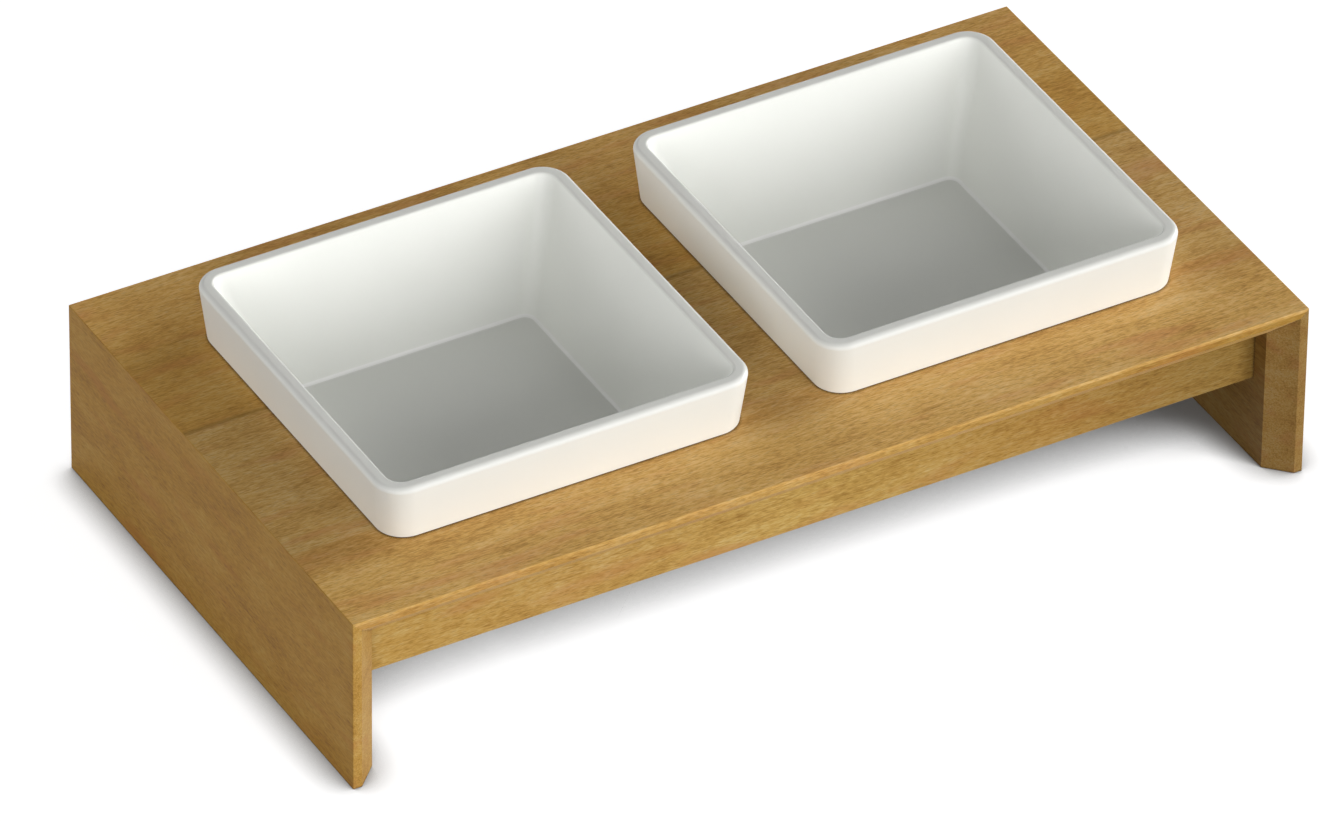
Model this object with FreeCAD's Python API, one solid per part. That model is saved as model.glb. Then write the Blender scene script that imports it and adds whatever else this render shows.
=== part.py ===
"""Double pet bowl stand: a mitred wooden stand that carries two square lift-out bowls.

All lengths are in millimetres. The origin is on the floor under the middle of the stand,
+X runs along its width to the right, +Y runs from the front to the back and +Z is up.
"""
import FreeCAD, Part
import math
import os

# Stand: a top board and two end panels of one thickness, mitred together
stand_width = 400.0
stand_depth = 220.0
stand_height = 74.5
board_thickness = 12.5
inner_bevel = 8.9
arris_radius = 0.4

# Rails: aprons under the top board, between the end panels
rail_height = 25.8
rail_thickness = 12.0
rail_setback = 17.0

# Board that shows round the bowls: beyond their rims at the ends, at the front
# and the back, and between them
end_margin = 32.1
front_margin = 33.1
bowl_gap = 28.2

# Bowls: a thick collar with a flat shoulder that sits on the board, and a body below it
rim_corner_radius = 11.5
rim_thickness = 5.3
rim_rounding = 2.2
mouth_rounding = 1.1
collar_height = 23.7
collar_lean = 2.4
collar_foot_corner_radius = 11.0
inside_depth = 48.7
inside_lean = 17.9
inside_mouth_corner_radius = 6.5
inside_floor_corner_radius = 4.5
inside_floor_fillet = 2.0
wall_thickness = 5.0
floor_thickness = 5.5
base_fillet = 3.0
foot_ring_width = 5.0
foot_ring_height = 1.2
hole_clearance = 1.0

# Biscuits: thin lens-shaped tongues glued across each mitre, spread evenly along it
biscuit_length = 38.0
biscuit_width = 12.0
biscuit_thickness = 3.0
biscuit_from_inner_corner = 5.4
biscuits_per_mitre = 3
slot_side_clearance = 0.05
slot_end_clearance = 0.5

# Dowels: two in each end of each rail
dowel_diameter = 6.0
dowel_in_panel = 8.0
dowel_in_rail = 16.0
dowel_end_chamfer = 0.6
dowel_from_rail_edge = 7.0
dowel_side_clearance = 0.04
dowel_end_clearance = 0.5

# How far cutting shapes reach past the faces that they cut
overrun = 5.0

# Two places closer than this share of the stand's width count as one
same_place_share = 1e-6

# The rounding outside a rim, and the one at its mouth, take up no more than these shares of it
rim_rounding_limit_share = 0.6
mouth_rounding_limit_share = 0.3

# Sizes and places that follow from the ones above
half_width = stand_width / 2
half_depth = stand_depth / 2
inner_half_width = half_width - board_thickness
board_underside = stand_height - board_thickness
rail_bottom = board_underside - rail_height
rail_middle_y = half_depth - rail_setback - rail_thickness / 2
rim_width = (stand_width - 2 * end_margin - bowl_gap) / 2
rim_depth = stand_depth - 2 * front_margin
bowl_middle_x = (rim_width + bowl_gap) / 2
rim_top = stand_height + collar_height
inside_floor = rim_top - inside_depth
bowl_base = inside_floor - floor_thickness
wall_across = wall_thickness * math.hypot(inside_lean, inside_depth) / inside_depth


def vector(x, y, z):
    return FreeCAD.Vector(x, y, z)


def edges_where(shape, wanted):
    """Edges of a shape whose middle point passes a test."""
    return [edge for edge in shape.Edges if wanted(edge.CenterOfMass)]


def same(a, b):
    """Whether two places along one axis are equal, to well under any size of the part."""
    return abs(a - b) < stand_width * same_place_share


def block(x_range, y_range, z_range):
    corner = vector(x_range[0], y_range[0], z_range[0])
    size = [high - low for low, high in (x_range, y_range, z_range)]
    return Part.makeBox(*size, corner)


def bowl_outline(inset, corner_radius, z):
    """Closed wire round the Z axis: the rim's outline drawn in by the inset, with round corners."""
    half_x = rim_width / 2 - inset
    half_y = rim_depth / 2 - inset
    bulge = corner_radius * (1 - math.sqrt(0.5))
    edges = []
    for x, y, turned in ((1, 1, False), (-1, 1, True), (-1, -1, False), (1, -1, True)):
        on_side = vector(x * half_x, y * (half_y - corner_radius), z)
        corner = vector(x * (half_x - bulge), y * (half_y - bulge), z)
        on_end = vector(x * (half_x - corner_radius), y * half_y, z)
        first, last = (on_end, on_side) if turned else (on_side, on_end)
        if edges:
            edges.append(Part.makeLine(edges[-1].Vertexes[-1].Point, first))
        edges.append(Part.Arc(first, corner, last).toShape())
    edges.append(Part.makeLine(edges[-1].Vertexes[-1].Point, edges[0].Vertexes[0].Point))
    return Part.Wire(edges)


def tapered_block(lower, upper):
    """Solid between two bowl outlines, each given as inset, corner radius and height."""
    return Part.makeLoft([bowl_outline(*lower), bowl_outline(*upper)], True, True)


def prism_along_y(points):
    """Solid with an outline of (x, z) points, running past the front and the back of the stand."""
    y = -half_depth - overrun
    outline = [vector(x, y, z) for x, z in points]
    face = Part.Face(Part.makePolygon(outline + outline[:1]))
    return face.extrude(vector(0, stand_depth + 2 * overrun, 0))


def inside_at(z):
    """Inset and corner radius of the bowl's inner walls, or of their continuation, at a height."""
    fall_share = (rim_top - z) / inside_depth
    growth = inside_floor_corner_radius - inside_mouth_corner_radius
    return rim_thickness + inside_lean * fall_share, inside_mouth_corner_radius + growth * fall_share


def body_at(z, clearance=0.0):
    """Inset, corner radius and height of the outer walls below the shoulder, or of a hole for them."""
    inset, corner = inside_at(z)
    outward = wall_across + clearance
    return inset - outward, corner + outward, z


def stand_shell():
    """The three boards as one arch, before the mitres part them."""
    shell = block((-half_width, half_width), (-half_depth, half_depth), (0, stand_height))
    shell = shell.cut(block((-inner_half_width, inner_half_width),
                            (-half_depth - overrun, half_depth + overrun),
                            (-overrun, board_underside)))

    def inner_edge(p):
        on_end = same(abs(p.y), half_depth)
        return on_end and (same(abs(p.x), inner_half_width) or same(p.z, board_underside))

    def outer_edge(p):
        on_end, on_side = same(abs(p.y), half_depth), same(abs(p.x), half_width)
        on_top = same(p.z, stand_height)
        return on_end + on_side + on_top == 2

    shell = shell.makeChamfer(inner_bevel, edges_where(shell, inner_edge))
    return shell.makeFillet(arris_radius, edges_where(shell, outer_edge))


def biscuit(side_clearance, end_clearance):
    """One lens-shaped biscuit lying in the plane of X and Y, or the slot for it."""
    half_length = biscuit_length / 2 + end_clearance
    half_span = biscuit_width / 2 + end_clearance
    thickness = biscuit_thickness + 2 * side_clearance
    tips = [vector(0, -half_length, -thickness / 2), vector(0, half_length, -thickness / 2)]
    bulges = [vector(x, 0, -thickness / 2) for x in (half_span, -half_span)]
    arcs = [Part.Arc(start, bulge, end).toShape() for start, bulge, end in zip(tips, bulges, tips[::-1])]
    return Part.Face(Part.Wire(arcs)).extrude(vector(0, 0, thickness))


def mitre_biscuits(side, side_clearance=0.0, end_clearance=0.0):
    """The row of biscuits across the mitre on one side (-1 left, 1 right)."""
    reach = biscuit_from_inner_corner * math.sqrt(0.5)
    lean = FreeCAD.Rotation(vector(0, 1, 0), 45 * side)
    spacing = stand_depth / biscuits_per_mitre
    row = []
    for place in range(biscuits_per_mitre):
        y = (place - (biscuits_per_mitre - 1) / 2) * spacing
        one = biscuit(side_clearance, end_clearance)
        middle = vector(side * (inner_half_width + reach), y, board_underside + reach)
        one.Placement = FreeCAD.Placement(middle, lean)
        row.append(one)
    return Part.Compound(row)


def dowel(side_clearance, end_clearance):
    """One dowel along X with its joint line at X zero, or the pair of bores for it."""
    radius = dowel_diameter / 2 + side_clearance
    length = dowel_in_panel + dowel_in_rail + 2 * end_clearance
    start = vector(-dowel_in_rail - end_clearance, 0, 0)
    rod = Part.makeCylinder(radius, length, start, vector(1, 0, 0))
    return rod.makeChamfer(dowel_end_chamfer, [e for e in rod.Edges if e.Closed])


def rail_dowels(back, side_clearance=0.0, end_clearance=0.0):
    """The dowels of one rail (back -1 for the front rail, 1 for the rear one), at both its ends."""
    rods = []
    for side in (-1, 1):
        for z in (rail_bottom + dowel_from_rail_edge, board_underside - dowel_from_rail_edge):
            rod = dowel(side_clearance, end_clearance)
            place = vector(side * inner_half_width, back * rail_middle_y, z)
            rod.Placement = FreeCAD.Placement(place, FreeCAD.Rotation(vector(0, 0, 1), 90 - 90 * side))
            rods.append(rod)
    return Part.Compound(rods)


def biscuit_slots(side):
    return mitre_biscuits(side, slot_side_clearance, slot_end_clearance)


def dowel_bores(back):
    return rail_dowels(back, dowel_side_clearance, dowel_end_clearance)


def end_panel(shell, side):
    """One end panel: the part of the arch outside the mitre, slotted and bored for its joints."""
    keep = prism_along_y([(side * x, z) for x, z in (
        (half_width + overrun, stand_height + overrun), (inner_half_width, board_underside),
        (inner_half_width, -overrun), (half_width + overrun, -overrun))])
    panel = shell.common(keep).cut(biscuit_slots(side))
    return panel.cut(dowel_bores(-1)).cut(dowel_bores(1))


def bowl_hole(x):
    """Hole through the board for the body of one bowl, with upright sides."""
    inset, corner, _ = body_at(stand_height, hole_clearance)
    low, high = board_underside - overrun, stand_height + overrun
    hole = tapered_block((inset, corner, low), (inset, corner, high))
    hole.translate(vector(x, 0, 0))
    return hole


def top_board(shell):
    """The board between the mitres, with a hole for each bowl."""
    keep = prism_along_y([
        (-half_width - overrun, stand_height + overrun), (half_width + overrun, stand_height + overrun),
        (inner_half_width, board_underside), (-inner_half_width, board_underside)])
    board = shell.common(keep).cut(biscuit_slots(-1)).cut(biscuit_slots(1))
    for side in (-1, 1):
        board = board.cut(bowl_hole(side * bowl_middle_x))
    return board


def rail(back):
    """One apron rail, glued under the board and dowelled to the end panels."""
    y_middle = back * rail_middle_y
    bar = block((-inner_half_width, inner_half_width),
                (y_middle - rail_thickness / 2, y_middle + rail_thickness / 2),
                (rail_bottom, board_underside))
    lower_edges = edges_where(bar, lambda p: same(p.z, rail_bottom) and same(p.x, 0))
    return bar.makeFillet(arris_radius, lower_edges).cut(dowel_bores(back))


def foot_recess():
    """Shallow hollow under the bowl that leaves a ring to stand on."""
    inset, _, _ = body_at(bowl_base)
    inset += base_fillet + foot_ring_width
    corner = inside_floor_corner_radius
    low, high = bowl_base - overrun, bowl_base + foot_ring_height
    return tapered_block((inset, corner, low), (inset, corner, high))


def rim_edges(shape, inset):
    """Edges on top of the rim, along its outline drawn in by the inset."""
    edges = []
    for edge in edges_where(shape, lambda p: same(p.z, rim_top)):
        start = edge.Vertexes[0].Point
        if same(abs(start.x), rim_width / 2 - inset) or same(abs(start.y), rim_depth / 2 - inset):
            edges.append(edge)
    return edges


def bowl(side):
    """One bowl: a tapered body below the board and a collar above it, hollowed from the rim down."""
    collar = tapered_block((collar_lean, collar_foot_corner_radius, stand_height),
                           (0, rim_corner_radius, rim_top))
    body = tapered_block(body_at(bowl_base), body_at(stand_height))
    body = body.makeFillet(base_fillet, edges_where(body, lambda p: same(p.z, bowl_base)))
    body = body.cut(foot_recess())
    hollow = tapered_block((*inside_at(inside_floor), inside_floor), (*inside_at(rim_top), rim_top))
    floor_edges = edges_where(hollow, lambda p: same(p.z, inside_floor))
    hollow = hollow.makeFillet(inside_floor_fillet, floor_edges)
    whole = collar.fuse(body).cut(hollow)
    rounding = min(rim_rounding, rim_thickness * rim_rounding_limit_share)
    whole = whole.makeFillet(rounding, rim_edges(whole, 0))
    rounding = min(mouth_rounding, rim_thickness * mouth_rounding_limit_share)
    whole = whole.makeFillet(rounding, rim_edges(whole, rim_thickness))
    whole.translate(vector(side * bowl_middle_x, 0, 0))
    return whole


def main():
    shell = stand_shell()
    nodes = {
        "top_board": top_board(shell),
        "left_end_panel": end_panel(shell, -1),
        "right_end_panel": end_panel(shell, 1),
        "front_rail": rail(-1),
        "rear_rail": rail(1),
        "left_mitre_biscuits": mitre_biscuits(-1),
        "right_mitre_biscuits": mitre_biscuits(1),
        "front_rail_dowels": rail_dowels(-1),
        "rear_rail_dowels": rail_dowels(1),
        "left_bowl": bowl(-1),
        "right_bowl": bowl(1),
    }
    os.makedirs("parts", exist_ok=True)
    for name, shape in nodes.items():
        shape.exportStep("parts/" + name + ".step")
        print(f"{name}: {len(shape.Solids)} solid(s), {shape.Volume:.0f} mm3, valid {shape.isValid()}")


main()
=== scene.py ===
# %% [markdown]
# # A double pet bowl stand
# The object is a low wooden arch of three mitred boards with an apron rail under each long
# edge, and two square glazed bowls that hang in holes in its top. The boards come ready-made
# from the CAD model, so this lesson is about three things: the wood, the glaze, and two bowls
# that are modelled again with smooth, softly rounded surfaces.

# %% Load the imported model
import math
import bpy
from mathutils import Matrix, Vector


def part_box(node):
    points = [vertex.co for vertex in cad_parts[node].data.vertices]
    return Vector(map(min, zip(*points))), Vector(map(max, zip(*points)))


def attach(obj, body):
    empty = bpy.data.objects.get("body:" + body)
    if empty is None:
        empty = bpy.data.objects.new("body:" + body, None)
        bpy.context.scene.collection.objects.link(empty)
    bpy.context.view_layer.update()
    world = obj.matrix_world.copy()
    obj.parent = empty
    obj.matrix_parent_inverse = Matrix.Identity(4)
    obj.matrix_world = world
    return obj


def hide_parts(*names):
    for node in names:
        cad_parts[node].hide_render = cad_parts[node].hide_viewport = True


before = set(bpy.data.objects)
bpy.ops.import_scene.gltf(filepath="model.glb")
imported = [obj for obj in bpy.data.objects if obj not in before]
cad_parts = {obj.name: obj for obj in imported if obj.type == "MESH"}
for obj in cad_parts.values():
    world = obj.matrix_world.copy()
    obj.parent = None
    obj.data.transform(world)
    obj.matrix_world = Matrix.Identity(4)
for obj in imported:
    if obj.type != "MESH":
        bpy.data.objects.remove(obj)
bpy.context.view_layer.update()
MM = 0.001
print("boards and bowls loaded:", ", ".join(sorted(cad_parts)))

# %% [markdown]
# ## The camera
# The photograph was taken with a long lens from high up on the left, so the edges of the stand
# stay almost parallel. A camera can be placed by eye, but here its angles, distance and lens
# were worked out from the corners of the stand, and they are simply written down. The view is
# turned about the middle of the stand's foot, and the frame is then moved a little up and left.

# %% Camera
view_azimuth = math.radians(-29.81)
view_elevation = math.radians(36.73)
view_roll = math.radians(0.76)
view_distance = 5413.8 * MM
foot_right_of_middle = 7.6 * MM
foot_below_middle = 21.3 * MM


def towards(azimuth, elevation):
    """Direction from the stand to a place round it: azimuth 0 is the front, 90 degrees the right."""
    flat = math.cos(elevation)
    return Vector((math.sin(azimuth) * flat, -math.cos(azimuth) * flat, math.sin(elevation)))


back = towards(view_azimuth, view_elevation)
level_right = Vector((0, 0, 1)).cross(back).normalized()
right = Matrix.Rotation(view_roll, 3, back) @ level_right
up = back.cross(right)
eye = back * view_distance - right * foot_right_of_middle + up * foot_below_middle
camera_data = bpy.data.cameras.new("camera")
camera_data.sensor_width = 36.0
camera_data.lens = 394.3
camera_data.clip_end = 100.0
camera = bpy.data.objects.new("camera", camera_data)
camera.matrix_world = Matrix((right, up, back)).transposed().to_4x4()
camera.location = eye
bpy.context.scene.collection.objects.link(camera)
bpy.context.scene.camera = camera
bpy.context.scene.view_settings.view_transform = "Standard"
print("camera", [round(c, 3) for c in eye], "lens", camera_data.lens)

# %% [markdown]
# ## Colours and nodes
# Colours are easiest to pick as sRGB hex values, but Blender's sockets take linear light, so one
# function turns the one into the other. A second small function adds a node to any tree, shader
# or geometry, sets its properties, and fills or links its inputs, so the trees below read as
# lists of what they do. A colour ramp starts with two stops, so its list of stops is set there too.


# %% Helpers for colours and nodes
def linear(hex_colour):
    """Linear RGBA of a colour written as #RRGGBB in sRGB."""
    shares = [int(hex_colour[i:i + 2], 16) / 255 for i in (1, 3, 5)]
    return tuple(s / 12.92 if s <= 0.04045 else ((s + 0.055) / 1.055) ** 2.4 for s in shares) + (1.0,)


def add_node(tree, kind, inputs=None, stops=(), **settings):
    """A new node with its settings; inputs are plain values, or outputs of other nodes to link."""
    made = tree.nodes.new(kind)
    for name, value in settings.items():
        setattr(made, name, value)
    for key, value in (inputs or {}).items():
        if isinstance(value, bpy.types.NodeSocket):
            tree.links.new(value, made.inputs[key])
        else:
            made.inputs[key].default_value = value
    if stops:
        ramp = made.color_ramp.elements
        ramp.remove(ramp[1])
        for i, (position, colour) in enumerate(stops):
            stop = ramp.new(position) if i else ramp[0]
            stop.position, stop.color = position, linear(colour)
    return made


def new_material(name):
    """A material with an empty tree, apart from its output node."""
    material = bpy.data.materials.new(name)
    material.use_nodes = True
    material.node_tree.nodes.clear()
    output = add_node(material.node_tree, "ShaderNodeOutputMaterial")
    return material, material.node_tree, output


plain_white = (1.0, 1.0, 1.0, 1.0)
print("honey brown is", [round(c, 3) for c in linear("#CEA05B")])

# %% [markdown]
# ## The floor
# The object stands on plain white paper that fades into a white background. A big plane takes
# the light and the shadow. Only the camera and clear reflections see it lifted to white, through
# the Light Path node, so it sends no extra light to the object. The lift drops where the stand
# closes the floor in, which the Ambient Occlusion node measures. It does so twice: a short reach
# draws the thin dark line under the feet, and a long reach the broad soft shade. The long one
# leans to the front right, where most of the light comes from, so the shade lies on the left.

# %% Floor
floor_half = 40.0
below_the_feet = 0.2 * MM
floor_corners = [(x * floor_half, y * floor_half, 0.0) for x, y in ((-1, -1), (1, -1), (1, 1), (-1, 1))]
floor_mesh = bpy.data.meshes.new("floor")
floor_mesh.from_pydata(floor_corners, [], [(0, 1, 2, 3)])
floor = bpy.data.objects.new("floor", floor_mesh)
floor.location.z = -below_the_feet
bpy.context.scene.collection.objects.link(floor)


def seen_directly(tree):
    """1 for rays from the camera, clear reflections and clear glass, and 0 for rays that carry light."""
    path = add_node(tree, "ShaderNodeLightPath")
    clear = add_node(tree, "ShaderNodeMath",
                     {0: path.outputs["Is Glossy Ray"], 1: path.outputs["Is Transmission Ray"]},
                     operation="MAXIMUM")
    return add_node(tree, "ShaderNodeMath", {0: clear.outputs[0], 1: path.outputs["Is Camera Ray"]},
                    operation="MAXIMUM").outputs[0]


# Each shade: reach, rays, lean to the front right, and the open shares where it is full and where it ends
shades = {
    "line under the feet": (20 * MM, 16, 0.0, 0.4, 0.89),
    "broad soft shade": (300 * MM, 48, 0.3, 0.17, 0.39),
}
paper, tree, output = new_material("matt_white_paper")
lift = 0.9
for reach, rays, lean, closed, clear in shades.values():
    leaning = add_node(tree, "ShaderNodeVectorMath", {0: (lean, -lean, 1.0)}, operation="NORMALIZE")
    open_to_room = add_node(tree, "ShaderNodeAmbientOcclusion",
                            {"Distance": reach, "Normal": leaning.outputs[0]}, samples=rays)
    share = add_node(tree, "ShaderNodeMapRange",
                     {"Value": open_to_room.outputs["AO"], "From Min": closed, "From Max": clear})
    lift = add_node(tree, "ShaderNodeMath", {0: lift, 1: share.outputs[0]}, operation="MULTIPLY").outputs[0]
glow = add_node(tree, "ShaderNodeEmission", {"Color": plain_white, "Strength": lift})
sheet = add_node(tree, "ShaderNodeBsdfDiffuse", {"Color": linear("#9C9C9C"), "Roughness": 0.5})
lifted = add_node(tree, "ShaderNodeAddShader", {0: sheet.outputs[0], 1: glow.outputs[0]})
lit_or_lifted = add_node(tree, "ShaderNodeMixShader",
                         {0: seen_directly(tree), 1: sheet.outputs[0], 2: lifted.outputs[0]})
tree.links.new(lit_or_lifted.outputs[0], output.inputs["Surface"])
floor_mesh.materials.append(paper)
print("floor of", 2 * floor_half, "m, with", " and ".join(shades))

# %% [markdown]
# ## The white room
# The room behind the paper is white to the eye as well, but gives almost no light itself: the
# lamps below do that, and leave the ceiling dark.

# %% Room
room_light = 0.02
room = bpy.data.worlds.new("white_room")
bpy.context.scene.world = room
room.use_nodes = True
tree = room.node_tree
tree.nodes.clear()
brightness = add_node(tree, "ShaderNodeMapRange",
                      {"Value": seen_directly(tree), "To Min": room_light, "To Max": 1.0})
sky = add_node(tree, "ShaderNodeBackground", {"Color": plain_white, "Strength": brightness.outputs[0]})
add_node(tree, "ShaderNodeOutputWorld", {"Surface": sky.outputs[0]})
print("room light", room_light)

# %% [markdown]
# ## The lamps
# Broad, low lights all round model the shapes. A key from the front right and a fill beside the
# camera brighten the faces that look to the front, a strong one on the right fills the walls that
# face it, and a weaker one behind on the left finds the back edges. They are low, so they skim the
# top and leave the bottoms of the bowls in soft shade, and two weak ones higher up soften that.
# The two lamps on the left behind are kept out of reflections, where they would draw white lines
# along the rims. A sun lamp with a wide angle acts like a large softbox far away.

# %% Lamps
softbox_angle = math.radians(36)
# Each lamp: azimuth and elevation in degrees, share of white that it gives, and whether it glints
lamps = {
    "key": (30, 12, 0.4, True),
    "high_key": (30, 38, 0.16, True),
    "fill": (-30, 12, 0.53, True),
    "right": (90, 12, 0.735, True),
    "back_left": (-150, 12, 0.31, False),
    "high_left": (-120, 38, 0.092, False),
}
for name, (azimuth, elevation, share, glints) in lamps.items():
    lamp_data = bpy.data.lights.new(name, "SUN")
    lamp_data.angle = softbox_angle
    lamp_data.energy = math.pi * share
    lamp = bpy.data.objects.new(name, lamp_data)
    lamp.visible_glossy = glints
    lamp.rotation_mode = "QUATERNION"
    direction = towards(math.radians(azimuth), math.radians(elevation))
    lamp.rotation_quaternion = direction.to_track_quat("Z", "Y")
    bpy.context.scene.collection.objects.link(lamp)
    print(name, "lamp gives", share, "of white to a face square to it")

# %% [markdown]
# ## The wood: where the grain runs
# The boards are glued up from staves of a golden brown hardwood, planed, sanded and oiled. Their
# patterns are made from noise in a solid block of space, measured in millimetres, so they run on
# round the edges of a board as in real wood. A Mapping node turns the block so that the grain
# follows the board, and every stave takes its grain from another place in the block.


# %% Grain
def grain_in(tree, along_y, shift, joints):
    """The block of wood in mm, X along its grain, and the places along, across and up the board."""
    place = add_node(tree, "ShaderNodeTexCoord").outputs["Object"]
    turned = {"Vector": place, "Rotation": (0, 0, -math.pi / 2 if along_y else 0.0), "Scale": (1 / MM,) * 3}
    board = add_node(tree, "ShaderNodeMapping", turned)
    along, across, height = add_node(tree, "ShaderNodeSeparateXYZ", {0: board.outputs[0]}).outputs
    block = add_node(tree, "ShaderNodeMapping", {**turned, "Location": shift}).outputs[0]
    next_stave = (311.0, 47.0, 29.0)
    for joint in joints:
        past = add_node(tree, "ShaderNodeMath", {0: across, 1: joint}, operation="GREATER_THAN")
        block = add_node(tree, "ShaderNodeVectorMath", {0: past.outputs[0], 1: next_stave, 2: block},
                         operation="MULTIPLY_ADD").outputs[0]

    # The grain wanders a few millimetres over the length of a hand.
    sway_length, sway_width, sway = 150.0, 35.0, 6.0
    slow = add_node(tree, "ShaderNodeVectorMath",
                    {0: block, 1: (1 / sway_length, 1 / sway_width, 1 / sway_width)}, operation="MULTIPLY")
    wander = add_node(tree, "ShaderNodeTexNoise", {"Vector": slow.outputs[0], "Scale": 1.0, "Detail": 1.0})
    grain = add_node(tree, "ShaderNodeVectorMath",
                     {0: wander.outputs["Color"], 1: (0, sway, sway), 2: block}, operation="MULTIPLY_ADD")
    return grain.outputs[0], along, across, height


def drawn_out(tree, grain, length, width, detail, roughness=0.55):
    """Noise whose spots are this long along the grain and this wide across it, in mm."""
    sized = add_node(tree, "ShaderNodeVectorMath", {0: grain, 1: (1 / length, 1 / width, 1 / width)},
                     operation="MULTIPLY")
    return add_node(tree, "ShaderNodeTexNoise",
                    {"Vector": sized.outputs[0], "Scale": 1.0, "Detail": detail,
                     "Roughness": roughness}).outputs["Fac"]


print("the grain runs along X in the top and the rails, and along Y in the end panels")

# %% [markdown]
# ## The wood: its own colours
# What the eye sees is a stack of patterns, all drawn out along the grain: broad soft bands where
# the growth rings cross the surface, small clouds, streaks and fibres a millimetre or less across,
# and short dark pores. Their weighted sum goes through a colour ramp from deep to pale honey, and
# here and there a streak turns to salmon.


# %% Bare wood
def bare_oak(tree, grain):
    """Colour of the planed wood, and the fibres and pores that its feel follows."""
    fibres = drawn_out(tree, grain, 3.6, 0.5, 2.0, 0.7)
    weights = ((drawn_out(tree, grain, 110.0, 9.0, 2.0), 0.35),
               (drawn_out(tree, grain, 26.0, 12.0, 1.0), 0.38),
               (drawn_out(tree, grain, 13.0, 1.8, 2.0), 0.42),
               (fibres, 1.05))
    tone = 0.5
    for pattern, weight in weights:
        part = add_node(tree, "ShaderNodeMath", {0: pattern, 1: weight, 2: -0.5 * weight},
                        operation="MULTIPLY_ADD")
        tone = add_node(tree, "ShaderNodeMath", {0: part.outputs[0], 1: tone}, operation="ADD").outputs[0]
    honey = add_node(tree, "ShaderNodeValToRGB", {"Fac": tone},
                     stops=((0.1, "#AA7838"), (0.5, "#E1B263"), (0.9, "#F4D396")))

    # Salmon streaks, where one slow noise runs high.
    reds = drawn_out(tree, grain, 40.0, 8.0, 1.0)
    red_share = add_node(tree, "ShaderNodeMapRange",
                         {"Value": reds, "From Min": 0.55, "From Max": 0.75, "To Max": 0.5})
    reddened = add_node(tree, "ShaderNodeMix",
                        {"Factor": red_share.outputs[0], "A": honey.outputs[0], "B": linear("#D8965C")},
                        data_type="RGBA")

    # Pores: short dark dashes. Real ones are about 0.2 mm wide, and are drawn at 0.5 mm to show.
    pore_length, pore_spacing = 4.0, 0.8
    cells = add_node(tree, "ShaderNodeVectorMath",
                     {0: grain, 1: (1 / pore_length, 1 / pore_spacing, 1 / pore_spacing)},
                     operation="MULTIPLY")
    pore = add_node(tree, "ShaderNodeTexVoronoi", {"Vector": cells.outputs[0], "Scale": 1.0})
    dashes = add_node(tree, "ShaderNodeMapRange",
                      {"Value": pore.outputs["Distance"], "From Min": 0.42, "From Max": 0.15, "To Max": 0.26})
    pored = add_node(tree, "ShaderNodeMix",
                     {"Factor": dashes.outputs[0], "A": reddened.outputs["Result"], "B": linear("#7A5022")},
                     data_type="RGBA")
    return pored.outputs["Result"], fibres, dashes.outputs[0]


print("bare wood runs from deep to pale honey")

# %% [markdown]
# ## The wood: tone, glue lines and painted light
# No board is one even tone. The staves differ, and thin dark glue lines part them. Upright faces
# take a deeper tint, partly oil that soaks in and partly painted shade, and a painted highlight
# lightens the upper front edge again. A line of painted shade lies lower on the fronts, where the
# bevel starts, and another in the last millimetre round whatever stands on the wood. So each board
# gets a second colour that its own is multiplied by. It is read from ramps over places in
# millimetres, and the Geometry node's Normal says which way a face looks.


# %% Tone, glue lines and painted light
def tints(tree, position, places):
    """A colour that changes with a position in mm, through the given places."""
    reach = 500.0
    share = add_node(tree, "ShaderNodeMath", {0: position, 1: 1 / reach, 2: 0.5}, operation="MULTIPLY_ADD")
    return add_node(tree, "ShaderNodeValToRGB", {"Fac": share.outputs[0]},
                    stops=[(mm / reach + 0.5, colour) for mm, colour in places]).outputs[0]


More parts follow.
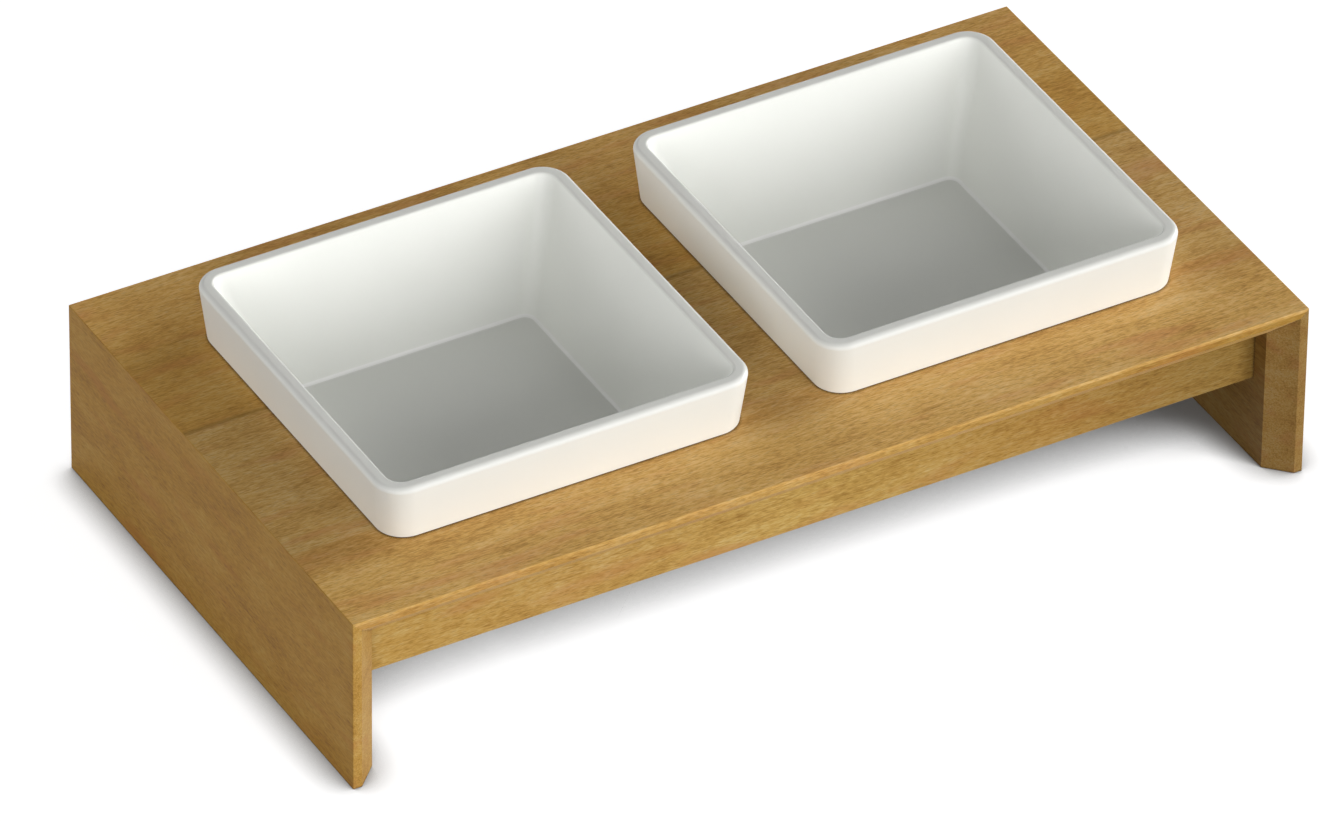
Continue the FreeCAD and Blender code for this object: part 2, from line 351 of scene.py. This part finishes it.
def tone_and_painted_light(tree, along, across, height, staves, lengths, fronts, sides, highlight_above, bevel_line):
    """The colour that bare wood is multiplied by, painted light included: level faces, fronts and sides each
    have their own.
    """
    normal = add_node(tree, "ShaderNodeNewGeometry").outputs["Normal"]
    facing = add_node(tree, "ShaderNodeSeparateXYZ", {0: normal}).outputs
    level = add_node(tree, "ShaderNodeMath", {0: facing["Z"]}, operation="ABSOLUTE")
    forward = add_node(tree, "ShaderNodeMapRange",
                       {"Value": facing["Y"], "From Min": -0.3, "From Max": -0.9}).outputs[0]
    # A bevel or rounded edge that leans to the front still counts as level.
    leaning_share = 0.4
    levelled = add_node(tree, "ShaderNodeMath", {0: forward, 1: leaning_share, 2: level.outputs[0]},
                        operation="MULTIPLY_ADD")
    # Upright faces take a deeper tint: partly oil that soaks in, partly painted shade.
    upright = add_node(tree, "ShaderNodeMapRange",
                       {"Value": levelled.outputs[0], "From Min": 0.9, "From Max": 0.75})
    edges = add_node(tree, "ShaderNodeMix",
                     {"Factor": forward, "A": linear(sides), "B": tints(tree, along, fronts)},
                     data_type="RGBA")

    # Painted highlight: a band just below the top of the fronts goes back towards the level tint.
    highlight_soft, highlight_strength = 0.2, 0.75
    edge_highlight = add_node(tree, "ShaderNodeMapRange",
                      {"Value": height, "From Min": highlight_above - highlight_soft,
                       "From Max": highlight_above + highlight_soft, "To Max": highlight_strength})
    front_edge_highlight = add_node(tree, "ShaderNodeMath", {0: edge_highlight.outputs[0], 1: forward}, operation="MULTIPLY")
    oiled = add_node(tree, "ShaderNodeMath", {0: upright.outputs[0], 1: front_edge_highlight.outputs[0]},
                     operation="SUBTRACT", use_clamp=True)
    flats = add_node(tree, "ShaderNodeMix",
                     {"Factor": 1.0, "A": tints(tree, across, staves), "B": tints(tree, along, lengths)},
                     data_type="RGBA", blend_type="MULTIPLY")
    tint = add_node(tree, "ShaderNodeMix",
                    {"Factor": oiled.outputs[0], "A": flats.outputs["Result"], "B": edges.outputs["Result"]},
                    data_type="RGBA")

    # Painted shade: a thin dark line on the fronts where the bevel starts, and ambient occlusion darkening
    # the last millimetre round whatever stands on the wood.
    contact_shade_reach, line_half, line_strength = 1.2 * MM, 0.5, 0.15
    contact_shade = add_node(tree, "ShaderNodeAmbientOcclusion", {"Distance": contact_shade_reach}, samples=1)
    line = add_node(tree, "ShaderNodeMath", {0: height, 1: bevel_line, 2: line_half}, operation="COMPARE")
    front_line = add_node(tree, "ShaderNodeMath", {0: line.outputs[0], 1: forward}, operation="MULTIPLY")
    painted_shade_factor = add_node(tree, "ShaderNodeMath",
                     {0: front_line.outputs[0], 1: -line_strength, 2: contact_shade.outputs["AO"]},
                     operation="MULTIPLY_ADD")
    return add_node(tree, "ShaderNodeVectorMath", {0: tint.outputs["Result"], "Scale": painted_shade_factor.outputs[0]},
                    operation="SCALE").outputs[0]


print("tints are read along and across each board, in mm from the middle of the stand")

# %% [markdown]
# ## The wood: an oiled surface
# Oil soaks in and leaves a satin surface, not a film. Its index of refraction is near 1.46, the
# roughness about a half, a little duller over the soft fibres, and the reflection weak. The fibres
# stand up and the pores lie open by fractions of a millimetre, which a Bump node gives.

# %% Oiled oak
even = ((0, "#FFFFFF"),)
above_everything = 1000.0


def oiled_oak(name, along_y=False, shift=(0.0, 0.0, 0.0), joints=(), staves=even, lengths=even, fronts=even,
              sides="#FFFFFF", highlight_above=above_everything, bevel_line=above_everything):
    """Oak staves, sanded and oiled: satin, with soft bands, fine fibres and short dark pores."""
    material, tree, output = new_material(name)
    grain, along, across, height = grain_in(tree, along_y, shift, joints)
    bare, fibres, dashes = bare_oak(tree, grain)
    tint_and_painted_light = tone_and_painted_light(tree, along, across, height, staves, lengths, fronts, sides, highlight_above, bevel_line)
    colour = add_node(tree, "ShaderNodeMix", {"Factor": 1.0, "A": bare, "B": tint_and_painted_light},
                      data_type="RGBA", blend_type="MULTIPLY")
    dull = add_node(tree, "ShaderNodeMapRange", {"Value": fibres, "To Min": 0.42, "To Max": 0.62})
    relief = add_node(tree, "ShaderNodeMath", {0: dashes, 1: -1.0, 2: fibres}, operation="MULTIPLY_ADD")
    feel = add_node(tree, "ShaderNodeBump",
                    {"Height": relief.outputs[0], "Strength": 0.2, "Distance": 0.25 * MM})
    oil = add_node(tree, "ShaderNodeBsdfPrincipled",
                   {"Base Color": colour.outputs["Result"], "Roughness": dull.outputs[0], "IOR": 1.46,
                    "Specular IOR Level": 0.15, "Normal": feel.outputs[0]})
    tree.links.new(oil.outputs[0], output.inputs["Surface"])
    return material


print("oiled oak is ready for the boards")

# %% [markdown]
# ## The boards
# Each board has its own place in the block of wood, and its own tints. The top is glued from three
# staves, so its list of tints across the board steps at the joints, with a darker stop for the
# glue on each side. The tints along the fronts of the top and the front rail darken towards the right end.

# %% Boards
front_joint, back_joint = -63.4, 19.4
# Upright faces take this deeper tint, partly oil that soaks in and partly painted shade.
oiled_shaded_side = "#BDB38E"
boards = {
    "top_board": oiled_oak(
        "oiled_oak_top", joints=(front_joint, back_joint), sides=oiled_shaded_side,
        highlight_above=73.3, bevel_line=70.4,
        lengths=((-190, "#F7F7F2"), (0, "#FCFCFA"), (190, "#FFFFFF")),
        staves=((-84, "#FAFAFD"), (-72, "#E5DFDF"),
                (-63.8, "#E5DFDF"), (-63.5, "#C2BDBD"), (-63.3, "#C2C3C9"), (-63.0, "#E5E6ED"),
                (19.0, "#E5E6ED"), (19.3, "#BEBFC5"), (19.5, "#B8B3A4"), (19.8, "#E2DCC8"),
                (60, "#E2DCC8"), (95, "#F3EFEC")),
        fronts=((-180, "#DCD3C8"), (0, "#E7E6E1"), (90, "#D6D2C1"), (180, "#C9C2A0"))),
    "front_rail": oiled_oak(
        "oiled_oak_front_rail", shift=(620.0, 40.0, 15.0), sides=oiled_shaded_side,
        fronts=((-180, "#D5D6C9"), (-100, "#D9D9D4"), (0, "#DEE5DF"), (100, "#C6C1B1"), (170, "#ABAB9D"))),
    "rear_rail": oiled_oak(
        "oiled_oak_rear_rail", shift=(-540.0, 85.0, 60.0), fronts=((0, oiled_shaded_side),), sides=oiled_shaded_side),
    "left_end_panel": oiled_oak(
        "oiled_oak_left_panel", along_y=True, shift=(90.0, 310.0, 22.0),
        fronts=((0, "#D6D1BA"),), sides="#C2B78B"),
    # Painted shade: the right end panel takes deeper tints than the left, on its fronts and its sides.
    "right_end_panel": oiled_oak(
        "oiled_oak_right_panel", along_y=True, shift=(-260.0, -170.0, 75.0),
        fronts=((0, "#B0AEAA"),), sides="#8F897A"),
}
for node, material in boards.items():
    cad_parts[node].material_slots[0].material = material
print("oiled boards:", ", ".join(boards))

# %% [markdown]
# ## The hidden joints
# Pressed beech biscuits lock the mitres and beech dowels hold the rails. They only show if the
# stand is taken apart. Beech is pale and slightly pink, with tiny darker flecks along the grain.

# %% Raw beech
fleck_size = (3 * MM, 1 * MM, 1 * MM)
beech, tree, output = new_material("raw_beech")
place = add_node(tree, "ShaderNodeTexCoord")
sized = add_node(tree, "ShaderNodeVectorMath", {0: place.outputs["Object"], 1: fleck_size},
                 operation="DIVIDE")
flecks = add_node(tree, "ShaderNodeTexNoise", {"Vector": sized.outputs[0], "Scale": 1.0, "Detail": 2.0})
pale = add_node(tree, "ShaderNodeMix",
                {"Factor": flecks.outputs["Fac"], "A": linear("#B98F63"), "B": linear("#DDBB8F")},
                data_type="RGBA")
raw = add_node(tree, "ShaderNodeBsdfPrincipled",
               {"Base Color": pale.outputs["Result"], "Roughness": 0.7, "IOR": 1.46})
tree.links.new(raw.outputs[0], output.inputs["Surface"])
for node in ("left_mitre_biscuits", "right_mitre_biscuits", "front_rail_dowels", "rear_rail_dowels"):
    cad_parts[node].material_slots[0].material = beech
print("beech joints: biscuits and dowels")

# %% [markdown]
# ## The glaze
# The bowls are stoneware under a warm white satin glaze. A glaze is a layer of glass, so its index
# of refraction is about 1.5, and its satin comes from a surface that is slightly rough all over.
# It is never quite even: it varies in soft clouds. Painted shade greys the top of the rim, the
# level floor of the bowl comes out a little greyer, and a painted highlight whitens the turn round
# the floor. On the rim and in that turn the glaze comes out sleek, and ripples cover all of it,
# like the skin of an orange.

# %% Satin glaze
cloud_size, ripple_size = 28 * MM, 3 * MM
rim_band_from, rim_height = 97.2 * MM, 98.1 * MM
floor_turn_height, floor_turn_half = 50.1 * MM, 0.45 * MM
floor_below, level_from = 50.0 * MM, 0.9
sleeker_by = 0.25
glaze, tree, output = new_material("satin_white_glaze")
place = add_node(tree, "ShaderNodeTexCoord").outputs["Object"]
clouds = add_node(tree, "ShaderNodeTexNoise",
                  {"Vector": place, "Scale": 1 / cloud_size, "Detail": 2.0}).outputs["Fac"]
height = add_node(tree, "ShaderNodeSeparateXYZ", {0: place}).outputs["Z"]
normal = add_node(tree, "ShaderNodeNewGeometry").outputs["Normal"]
upward = add_node(tree, "ShaderNodeSeparateXYZ", {0: normal}).outputs["Z"]
# Painted shade: the top of the rim is greyed.
rim_shade = add_node(tree, "ShaderNodeMapRange",
                {"Value": height, "From Min": rim_band_from, "From Max": rim_height, "To Max": 0.45})
# The level floor of the bowl is a little greyer.
low = add_node(tree, "ShaderNodeMath", {0: height, 1: floor_below}, operation="LESS_THAN")
level = add_node(tree, "ShaderNodeMath", {0: upward, 1: level_from}, operation="GREATER_THAN")
greyer_floor = add_node(tree, "ShaderNodeMath", {0: low.outputs[0], 1: level.outputs[0]}, operation="MULTIPLY")
# Painted highlight: a whiter band in the turn round the floor, where the glaze is also sleeker.
floor_turn = add_node(tree, "ShaderNodeMath", {0: height, 1: floor_turn_height, 2: floor_turn_half}, operation="COMPARE")
white = linear("#EFF0EB")
for share, colour in ((clouds, "#F3F4EF"), (rim_shade.outputs[0], "#DADAD3"), (greyer_floor.outputs[0], "#E8E9E4"),
                      (floor_turn.outputs[0], "#FBFBF9")):
    white = add_node(tree, "ShaderNodeMix", {"Factor": share, "A": white, "B": linear(colour)},
                     data_type="RGBA").outputs["Result"]
satin = add_node(tree, "ShaderNodeMapRange", {"Value": clouds, "To Min": 0.4, "To Max": 0.5})
on_rim = add_node(tree, "ShaderNodeMath", {0: height, 1: rim_band_from}, operation="GREATER_THAN")
sleek = add_node(tree, "ShaderNodeMath", {0: floor_turn.outputs[0], 1: on_rim.outputs[0]}, operation="MAXIMUM")
dull = add_node(tree, "ShaderNodeMath", {0: sleek.outputs[0], 1: -sleeker_by, 2: satin.outputs[0]},
                operation="MULTIPLY_ADD")
ripples = add_node(tree, "ShaderNodeTexNoise", {"Vector": place, "Scale": 1 / ripple_size, "Detail": 1.0})
skin = add_node(tree, "ShaderNodeBump",
                {"Height": ripples.outputs["Fac"], "Strength": 0.05, "Distance": 0.2 * MM})
shine = add_node(tree, "ShaderNodeBsdfPrincipled",
                 {"Base Color": white, "Roughness": dull.outputs[0], "IOR": 1.5,
                  "Specular IOR Level": 0.3, "Normal": skin.outputs[0]})
tree.links.new(shine.outputs[0], output.inputs["Surface"])
print("glaze:", glaze.name)

# %% [markdown]
# ## The bare clay
# The ring that a bowl stands on is wiped clean before firing, or it would stick to the shelf of
# the kiln. It stays bare: dull, a little darker than the glaze, and gritty.

# %% Bare clay
grit_size = 0.8 * MM
bare_clay, tree, output = new_material("bare_fired_clay")
place = add_node(tree, "ShaderNodeTexCoord").outputs["Object"]
grit = add_node(tree, "ShaderNodeTexNoise", {"Vector": place, "Scale": 1 / grit_size, "Detail": 3.0})
clay = add_node(tree, "ShaderNodeMix",
                {"Factor": grit.outputs["Fac"], "A": linear("#C9C0B0"), "B": linear("#E2DACB")},
                data_type="RGBA")
rough = add_node(tree, "ShaderNodeBsdfPrincipled",
                 {"Base Color": clay.outputs["Result"], "Roughness": 0.85, "IOR": 1.5})
tree.links.new(rough.outputs[0], output.inputs["Surface"])
print("clay:", bare_clay.name)

# %% [markdown]
# ## The bowls
# Every level section of a bowl is a square with round corners. So the whole bowl follows one
# rule: walk along its cross-section, from the middle of the underside over the rim to the middle
# of the floor, and at each step draw a rounded square of the right size. Geometry Nodes do this
# well. The cross-section is a short line of corner points, the Fillet Curve node rounds them, a
# square is put on every point, its corners are rounded too, and a grid is laid over the squares.

# %% Cross-section of a bowl
board_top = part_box("top_board")[1].z / MM
bowl_low, bowl_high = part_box("left_bowl")
rim_top = bowl_high.z / MM
base = bowl_low.z / MM
rim_half = 153.8 / 2
rim_thickness = 5.3
collar_lean = 2.4
inside_depth = 48.7
inside_lean = 17.9
inside_floor = rim_top - inside_depth
wall_thickness = 5.0
wall_across = wall_thickness * math.hypot(inside_lean, inside_depth) / inside_depth
foot_ring_height = 1.2
foot_ring_inset = 8.0
near_middle = rim_half - 1.0


def inside_inset(z):
    """How far the inner wall, or its continuation, lies in from the rim's outer face at a height."""
    return rim_thickness + inside_lean * (rim_top - z) / inside_depth


body_foot = inside_inset(base) - wall_across
body_top = inside_inset(board_top) - wall_across
# Each corner: inset from the rim, height, corner radius of the square, rounding of the section
section = (
    (near_middle, base + foot_ring_height, 0.5, 0.0),
    (body_foot + foot_ring_inset, base + foot_ring_height, 4.5, 0.5),
    (body_foot + foot_ring_inset, base, 4.5, 0.5),
    (body_foot, base, 9.6, 3.0),
    (body_top, board_top, 10.9, 1.2),
    (collar_lean, board_top, 11.0, 0.7),
    (0.0, rim_top, 11.5, 2.2),
    (rim_thickness, rim_top, 6.5, 1.1),
    (inside_inset(inside_floor), inside_floor, 4.5, 2.0),
    (near_middle, inside_floor, 0.5, 0.0),
)
print("section of", len(section), "corners, from height", round(base, 1), "to", round(rim_top, 1), "mm")

# %% [markdown]
# ## The bowl's tree: the rounded section
# The line of corner points carries three numbers on each point: the inset of its corner, the
# radius of the square there, and the rounding of the section. Inside a rounding, the square's own
# corners shrink as it draws in, which keeps the rim even on its way round the corner.

# %% Rounded section
bowl_tree = bpy.data.node_groups.new("rounded_square_bowl", "GeometryNodeTree")
sockets = bowl_tree.interface
for label, kind in (("Section", "Geometry"), ("Rim Half Width", "Float"), ("Bowl Middle", "Vector"),
                    ("Section Steps", "Int"), ("Corner Steps", "Int"), ("Ring Height", "Float"),
                    ("Glaze", "Material"), ("Bare Clay", "Material")):
    sockets.new_socket(label, in_out="INPUT", socket_type="NodeSocket" + kind)
sockets.new_socket("Bowl", in_out="OUTPUT", socket_type="NodeSocketGeometry")
given = add_node(bowl_tree, "NodeGroupInput").outputs
kept = {label: add_node(bowl_tree, "GeometryNodeInputNamedAttribute", {"Name": label},
                        data_type="FLOAT").outputs[0]
        for label in ("corner_inset", "corner_radius", "rounding", "square_radius", "square_half")}
position = add_node(bowl_tree, "GeometryNodeInputPosition").outputs[0]
where = add_node(bowl_tree, "ShaderNodeSeparateXYZ", {0: position}).outputs

line = add_node(bowl_tree, "GeometryNodeMeshToCurve", {"Mesh": given["Section"]})
rounded = add_node(bowl_tree, "GeometryNodeFilletCurve",
                   {"Curve": line.outputs[0], "Count": given["Section Steps"], "Radius": kept["rounding"],
                    "Limit Radius": True}, mode="POLY")
half = add_node(bowl_tree, "ShaderNodeMath", {0: given["Rim Half Width"], 1: where["X"]},
                operation="SUBTRACT")
drawn_in = add_node(bowl_tree, "ShaderNodeMath", {0: kept["corner_inset"], 1: where["X"]},
                    operation="SUBTRACT")
radius = add_node(bowl_tree, "ShaderNodeMath", {0: kept["corner_radius"], 1: drawn_in.outputs[0]},
                  operation="ADD")
measured = rounded.outputs[0]
for label, value in (("square_radius", radius), ("square_half", half)):
    measured = add_node(bowl_tree, "GeometryNodeStoreNamedAttribute",
                        {"Geometry": measured, "Name": label, "Value": value.outputs[0]},
                        data_type="FLOAT", domain="POINT").outputs[0]
print("inputs of the bowl tree:", ", ".join(socket.name for socket in given if socket.name))

# %% [markdown]
# ## The bowl's tree: hoops and skin
# The points of the section move to the bowl's axis, and each gets a square, grown to its size and
# rounded at its corners: a hoop. A grid with one row for each hoop is then laid on their points.
# Its last column lies on the first one, and the first and last rows close to a point, so merging
# what coincides gives one closed skin.

# %% Hoops and skin
on_axis = add_node(bowl_tree, "ShaderNodeCombineXYZ", {"Z": where["Z"]})
stacked = add_node(bowl_tree, "GeometryNodeSetPosition",
                   {"Geometry": measured, "Position": on_axis.outputs[0]})
square = add_node(bowl_tree, "GeometryNodeCurvePrimitiveQuadrilateral", {"Width": 2.0, "Height": 2.0})
grown = add_node(bowl_tree, "ShaderNodeCombineXYZ",
                 {"X": kept["square_half"], "Y": kept["square_half"], "Z": 1.0})
squares = add_node(bowl_tree, "GeometryNodeInstanceOnPoints",
                   {"Points": stacked.outputs[0], "Instance": square.outputs[0], "Scale": grown.outputs[0]})
loose = add_node(bowl_tree, "GeometryNodeRealizeInstances", {"Geometry": squares.outputs[0]})
hoops = add_node(bowl_tree, "GeometryNodeFilletCurve",
                 {"Curve": loose.outputs[0], "Count": given["Corner Steps"], "Radius": kept["square_radius"],
                  "Limit Radius": True}, mode="POLY").outputs[0]

size = add_node(bowl_tree, "GeometryNodeAttributeDomainSize", {"Geometry": hoops},
                component="CURVE").outputs
rows = size["Spline Count"]
per_hoop = add_node(bowl_tree, "ShaderNodeMath", {0: size["Point Count"], 1: rows},
                    operation="DIVIDE").outputs[0]
columns = add_node(bowl_tree, "ShaderNodeMath", {0: per_hoop, 1: 1.0}, operation="ADD").outputs[0]
grid = add_node(bowl_tree, "GeometryNodeMeshGrid", {"Vertices X": rows, "Vertices Y": columns})
index = add_node(bowl_tree, "GeometryNodeInputIndex").outputs[0]
ratio = add_node(bowl_tree, "ShaderNodeMath", {0: index, 1: columns}, operation="DIVIDE")
row = add_node(bowl_tree, "ShaderNodeMath", {0: ratio.outputs[0]}, operation="FLOOR").outputs[0]
column = add_node(bowl_tree, "ShaderNodeMath", {0: index, 1: columns}, operation="MODULO")
wrapped = add_node(bowl_tree, "ShaderNodeMath", {0: column.outputs[0], 1: per_hoop}, operation="MODULO")
source = add_node(bowl_tree, "ShaderNodeMath", {0: row, 1: per_hoop, 2: wrapped.outputs[0]},
                  operation="MULTIPLY_ADD")
spot = add_node(bowl_tree, "GeometryNodeSampleIndex",
                {"Geometry": hoops, "Value": position, "Index": source.outputs[0]},
                data_type="FLOAT_VECTOR", domain="POINT")
last_row = add_node(bowl_tree, "ShaderNodeMath", {0: rows, 1: 1.0}, operation="SUBTRACT")
after_first = add_node(bowl_tree, "ShaderNodeMath", {0: row, 1: 0.5}, operation="GREATER_THAN")
before_last = add_node(bowl_tree, "ShaderNodeMath", {0: row, 1: last_row.outputs[0]},
                       operation="LESS_THAN")
spread = add_node(bowl_tree, "ShaderNodeMath", {0: after_first.outputs[0], 1: before_last.outputs[0]},
                  operation="MULTIPLY").outputs[0]
closing = add_node(bowl_tree, "ShaderNodeCombineXYZ", {"X": spread, "Y": spread, "Z": 1.0})
closed_spot = add_node(bowl_tree, "ShaderNodeVectorMath",
                       {0: spot.outputs[0], 1: closing.outputs[0], 2: given["Bowl Middle"]},
                       operation="MULTIPLY_ADD")
laid = add_node(bowl_tree, "GeometryNodeSetPosition",
                {"Geometry": grid.outputs[0], "Position": closed_spot.outputs[0]})
joined = add_node(bowl_tree, "GeometryNodeMergeByDistance",
                  {"Geometry": laid.outputs[0], "Distance": 0.01 * MM})
print("hoops of", square.bl_label, "curves under a", grid.bl_label)

# %% [markdown]
# ## The bowl's tree: glaze and clay
# The grid's faces come out pointing inwards, so they are flipped, and shaded smooth. Glaze goes
# everywhere, and bare clay on the ring underneath.

# %% Glaze and clay on the skin
outward = add_node(bowl_tree, "GeometryNodeFlipFaces", {"Mesh": joined.outputs[0]})
smooth = add_node(bowl_tree, "GeometryNodeSetShadeSmooth", {"Geometry": outward.outputs[0]})
plain = add_node(bowl_tree, "GeometryNodeRealizeInstances", {"Geometry": smooth.outputs[0]})
glazed = add_node(bowl_tree, "GeometryNodeSetMaterial",
                  {"Geometry": plain.outputs[0], "Material": given["Glaze"]})
on_ring = add_node(bowl_tree, "ShaderNodeMath", {0: where["Z"], 1: given["Ring Height"]},
                   operation="LESS_THAN")
wiped = add_node(bowl_tree, "GeometryNodeSetMaterial",
                 {"Geometry": glazed.outputs[0], "Selection": on_ring.outputs[0],
                  "Material": given["Bare Clay"]})
add_node(bowl_tree, "NodeGroupOutput", {"Bowl": wiped.outputs[0]})
print("bowl tree of", len(bowl_tree.nodes), "nodes")

# %% [markdown]
# ## Two bowls from one tree
# Each bowl is the same section in its own place. The evaluated result becomes a plain mesh, and
# a Weighted Normal modifier lets the large flat faces keep their flat shading, while the
# roundings between them blend softly. Each mesh then takes the place of its CAD bowl.

# %% Make the bowls
ring_margin = 0.1


def glazed_bowl(node):
    """A smooth bowl in the place of a CAD bowl, moving with its body."""
    low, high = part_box(node)
    corners = bpy.data.meshes.new(node + "_section")
    corners.from_pydata([(inset * MM, 0.0, z * MM) for inset, z, _, _ in section],
                        [(i, i + 1) for i in range(len(section) - 1)], [])
    insets, _, radii, roundings = zip(*section)
    for label, values in (("corner_inset", insets), ("corner_radius", radii), ("rounding", roundings)):
        numbers = corners.attributes.new(label, "FLOAT", "POINT")
        numbers.data.foreach_set("value", [v * MM for v in values])
    maker = bpy.data.objects.new(node + "_maker", corners)
    bpy.context.scene.collection.objects.link(maker)
    nodes = maker.modifiers.new("bowl", "NODES")
    nodes.node_group = bowl_tree
    settings = {"Rim Half Width": rim_half * MM,
                "Bowl Middle": ((low.x + high.x) / 2, (low.y + high.y) / 2, 0.0),
                "Section Steps": 8, "Corner Steps": 12, "Ring Height": (base + ring_margin) * MM,
                "Glaze": glaze, "Bare Clay": bare_clay}
    for item in bowl_tree.interface.items_tree:
        if item.in_out == "INPUT" and item.name in settings:
            nodes[item.identifier] = settings[item.name]
    shading = maker.modifiers.new("even_shading", "WEIGHTED_NORMAL")
    shading.weight = 100
    mesh = bpy.data.meshes.new_from_object(maker.evaluated_get(bpy.context.evaluated_depsgraph_get()))
    bpy.data.objects.remove(maker)
    mesh.name = node + "_glazed"
    bowl = bpy.data.objects.new(node + "_glazed", mesh)
    bpy.context.scene.collection.objects.link(bowl)
    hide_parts(node)
    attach(bowl, node)
    return bowl


for node in ("left_bowl", "right_bowl"):
    bowl = glazed_bowl(node)
    spans = [[round(f(v.co[i] for v in bowl.data.vertices) / MM, 2) for i in range(3)] for f in (min, max)]
    print(bowl.name, len(bowl.data.polygons), "faces, from", spans[0], "to", spans[1], "mm")
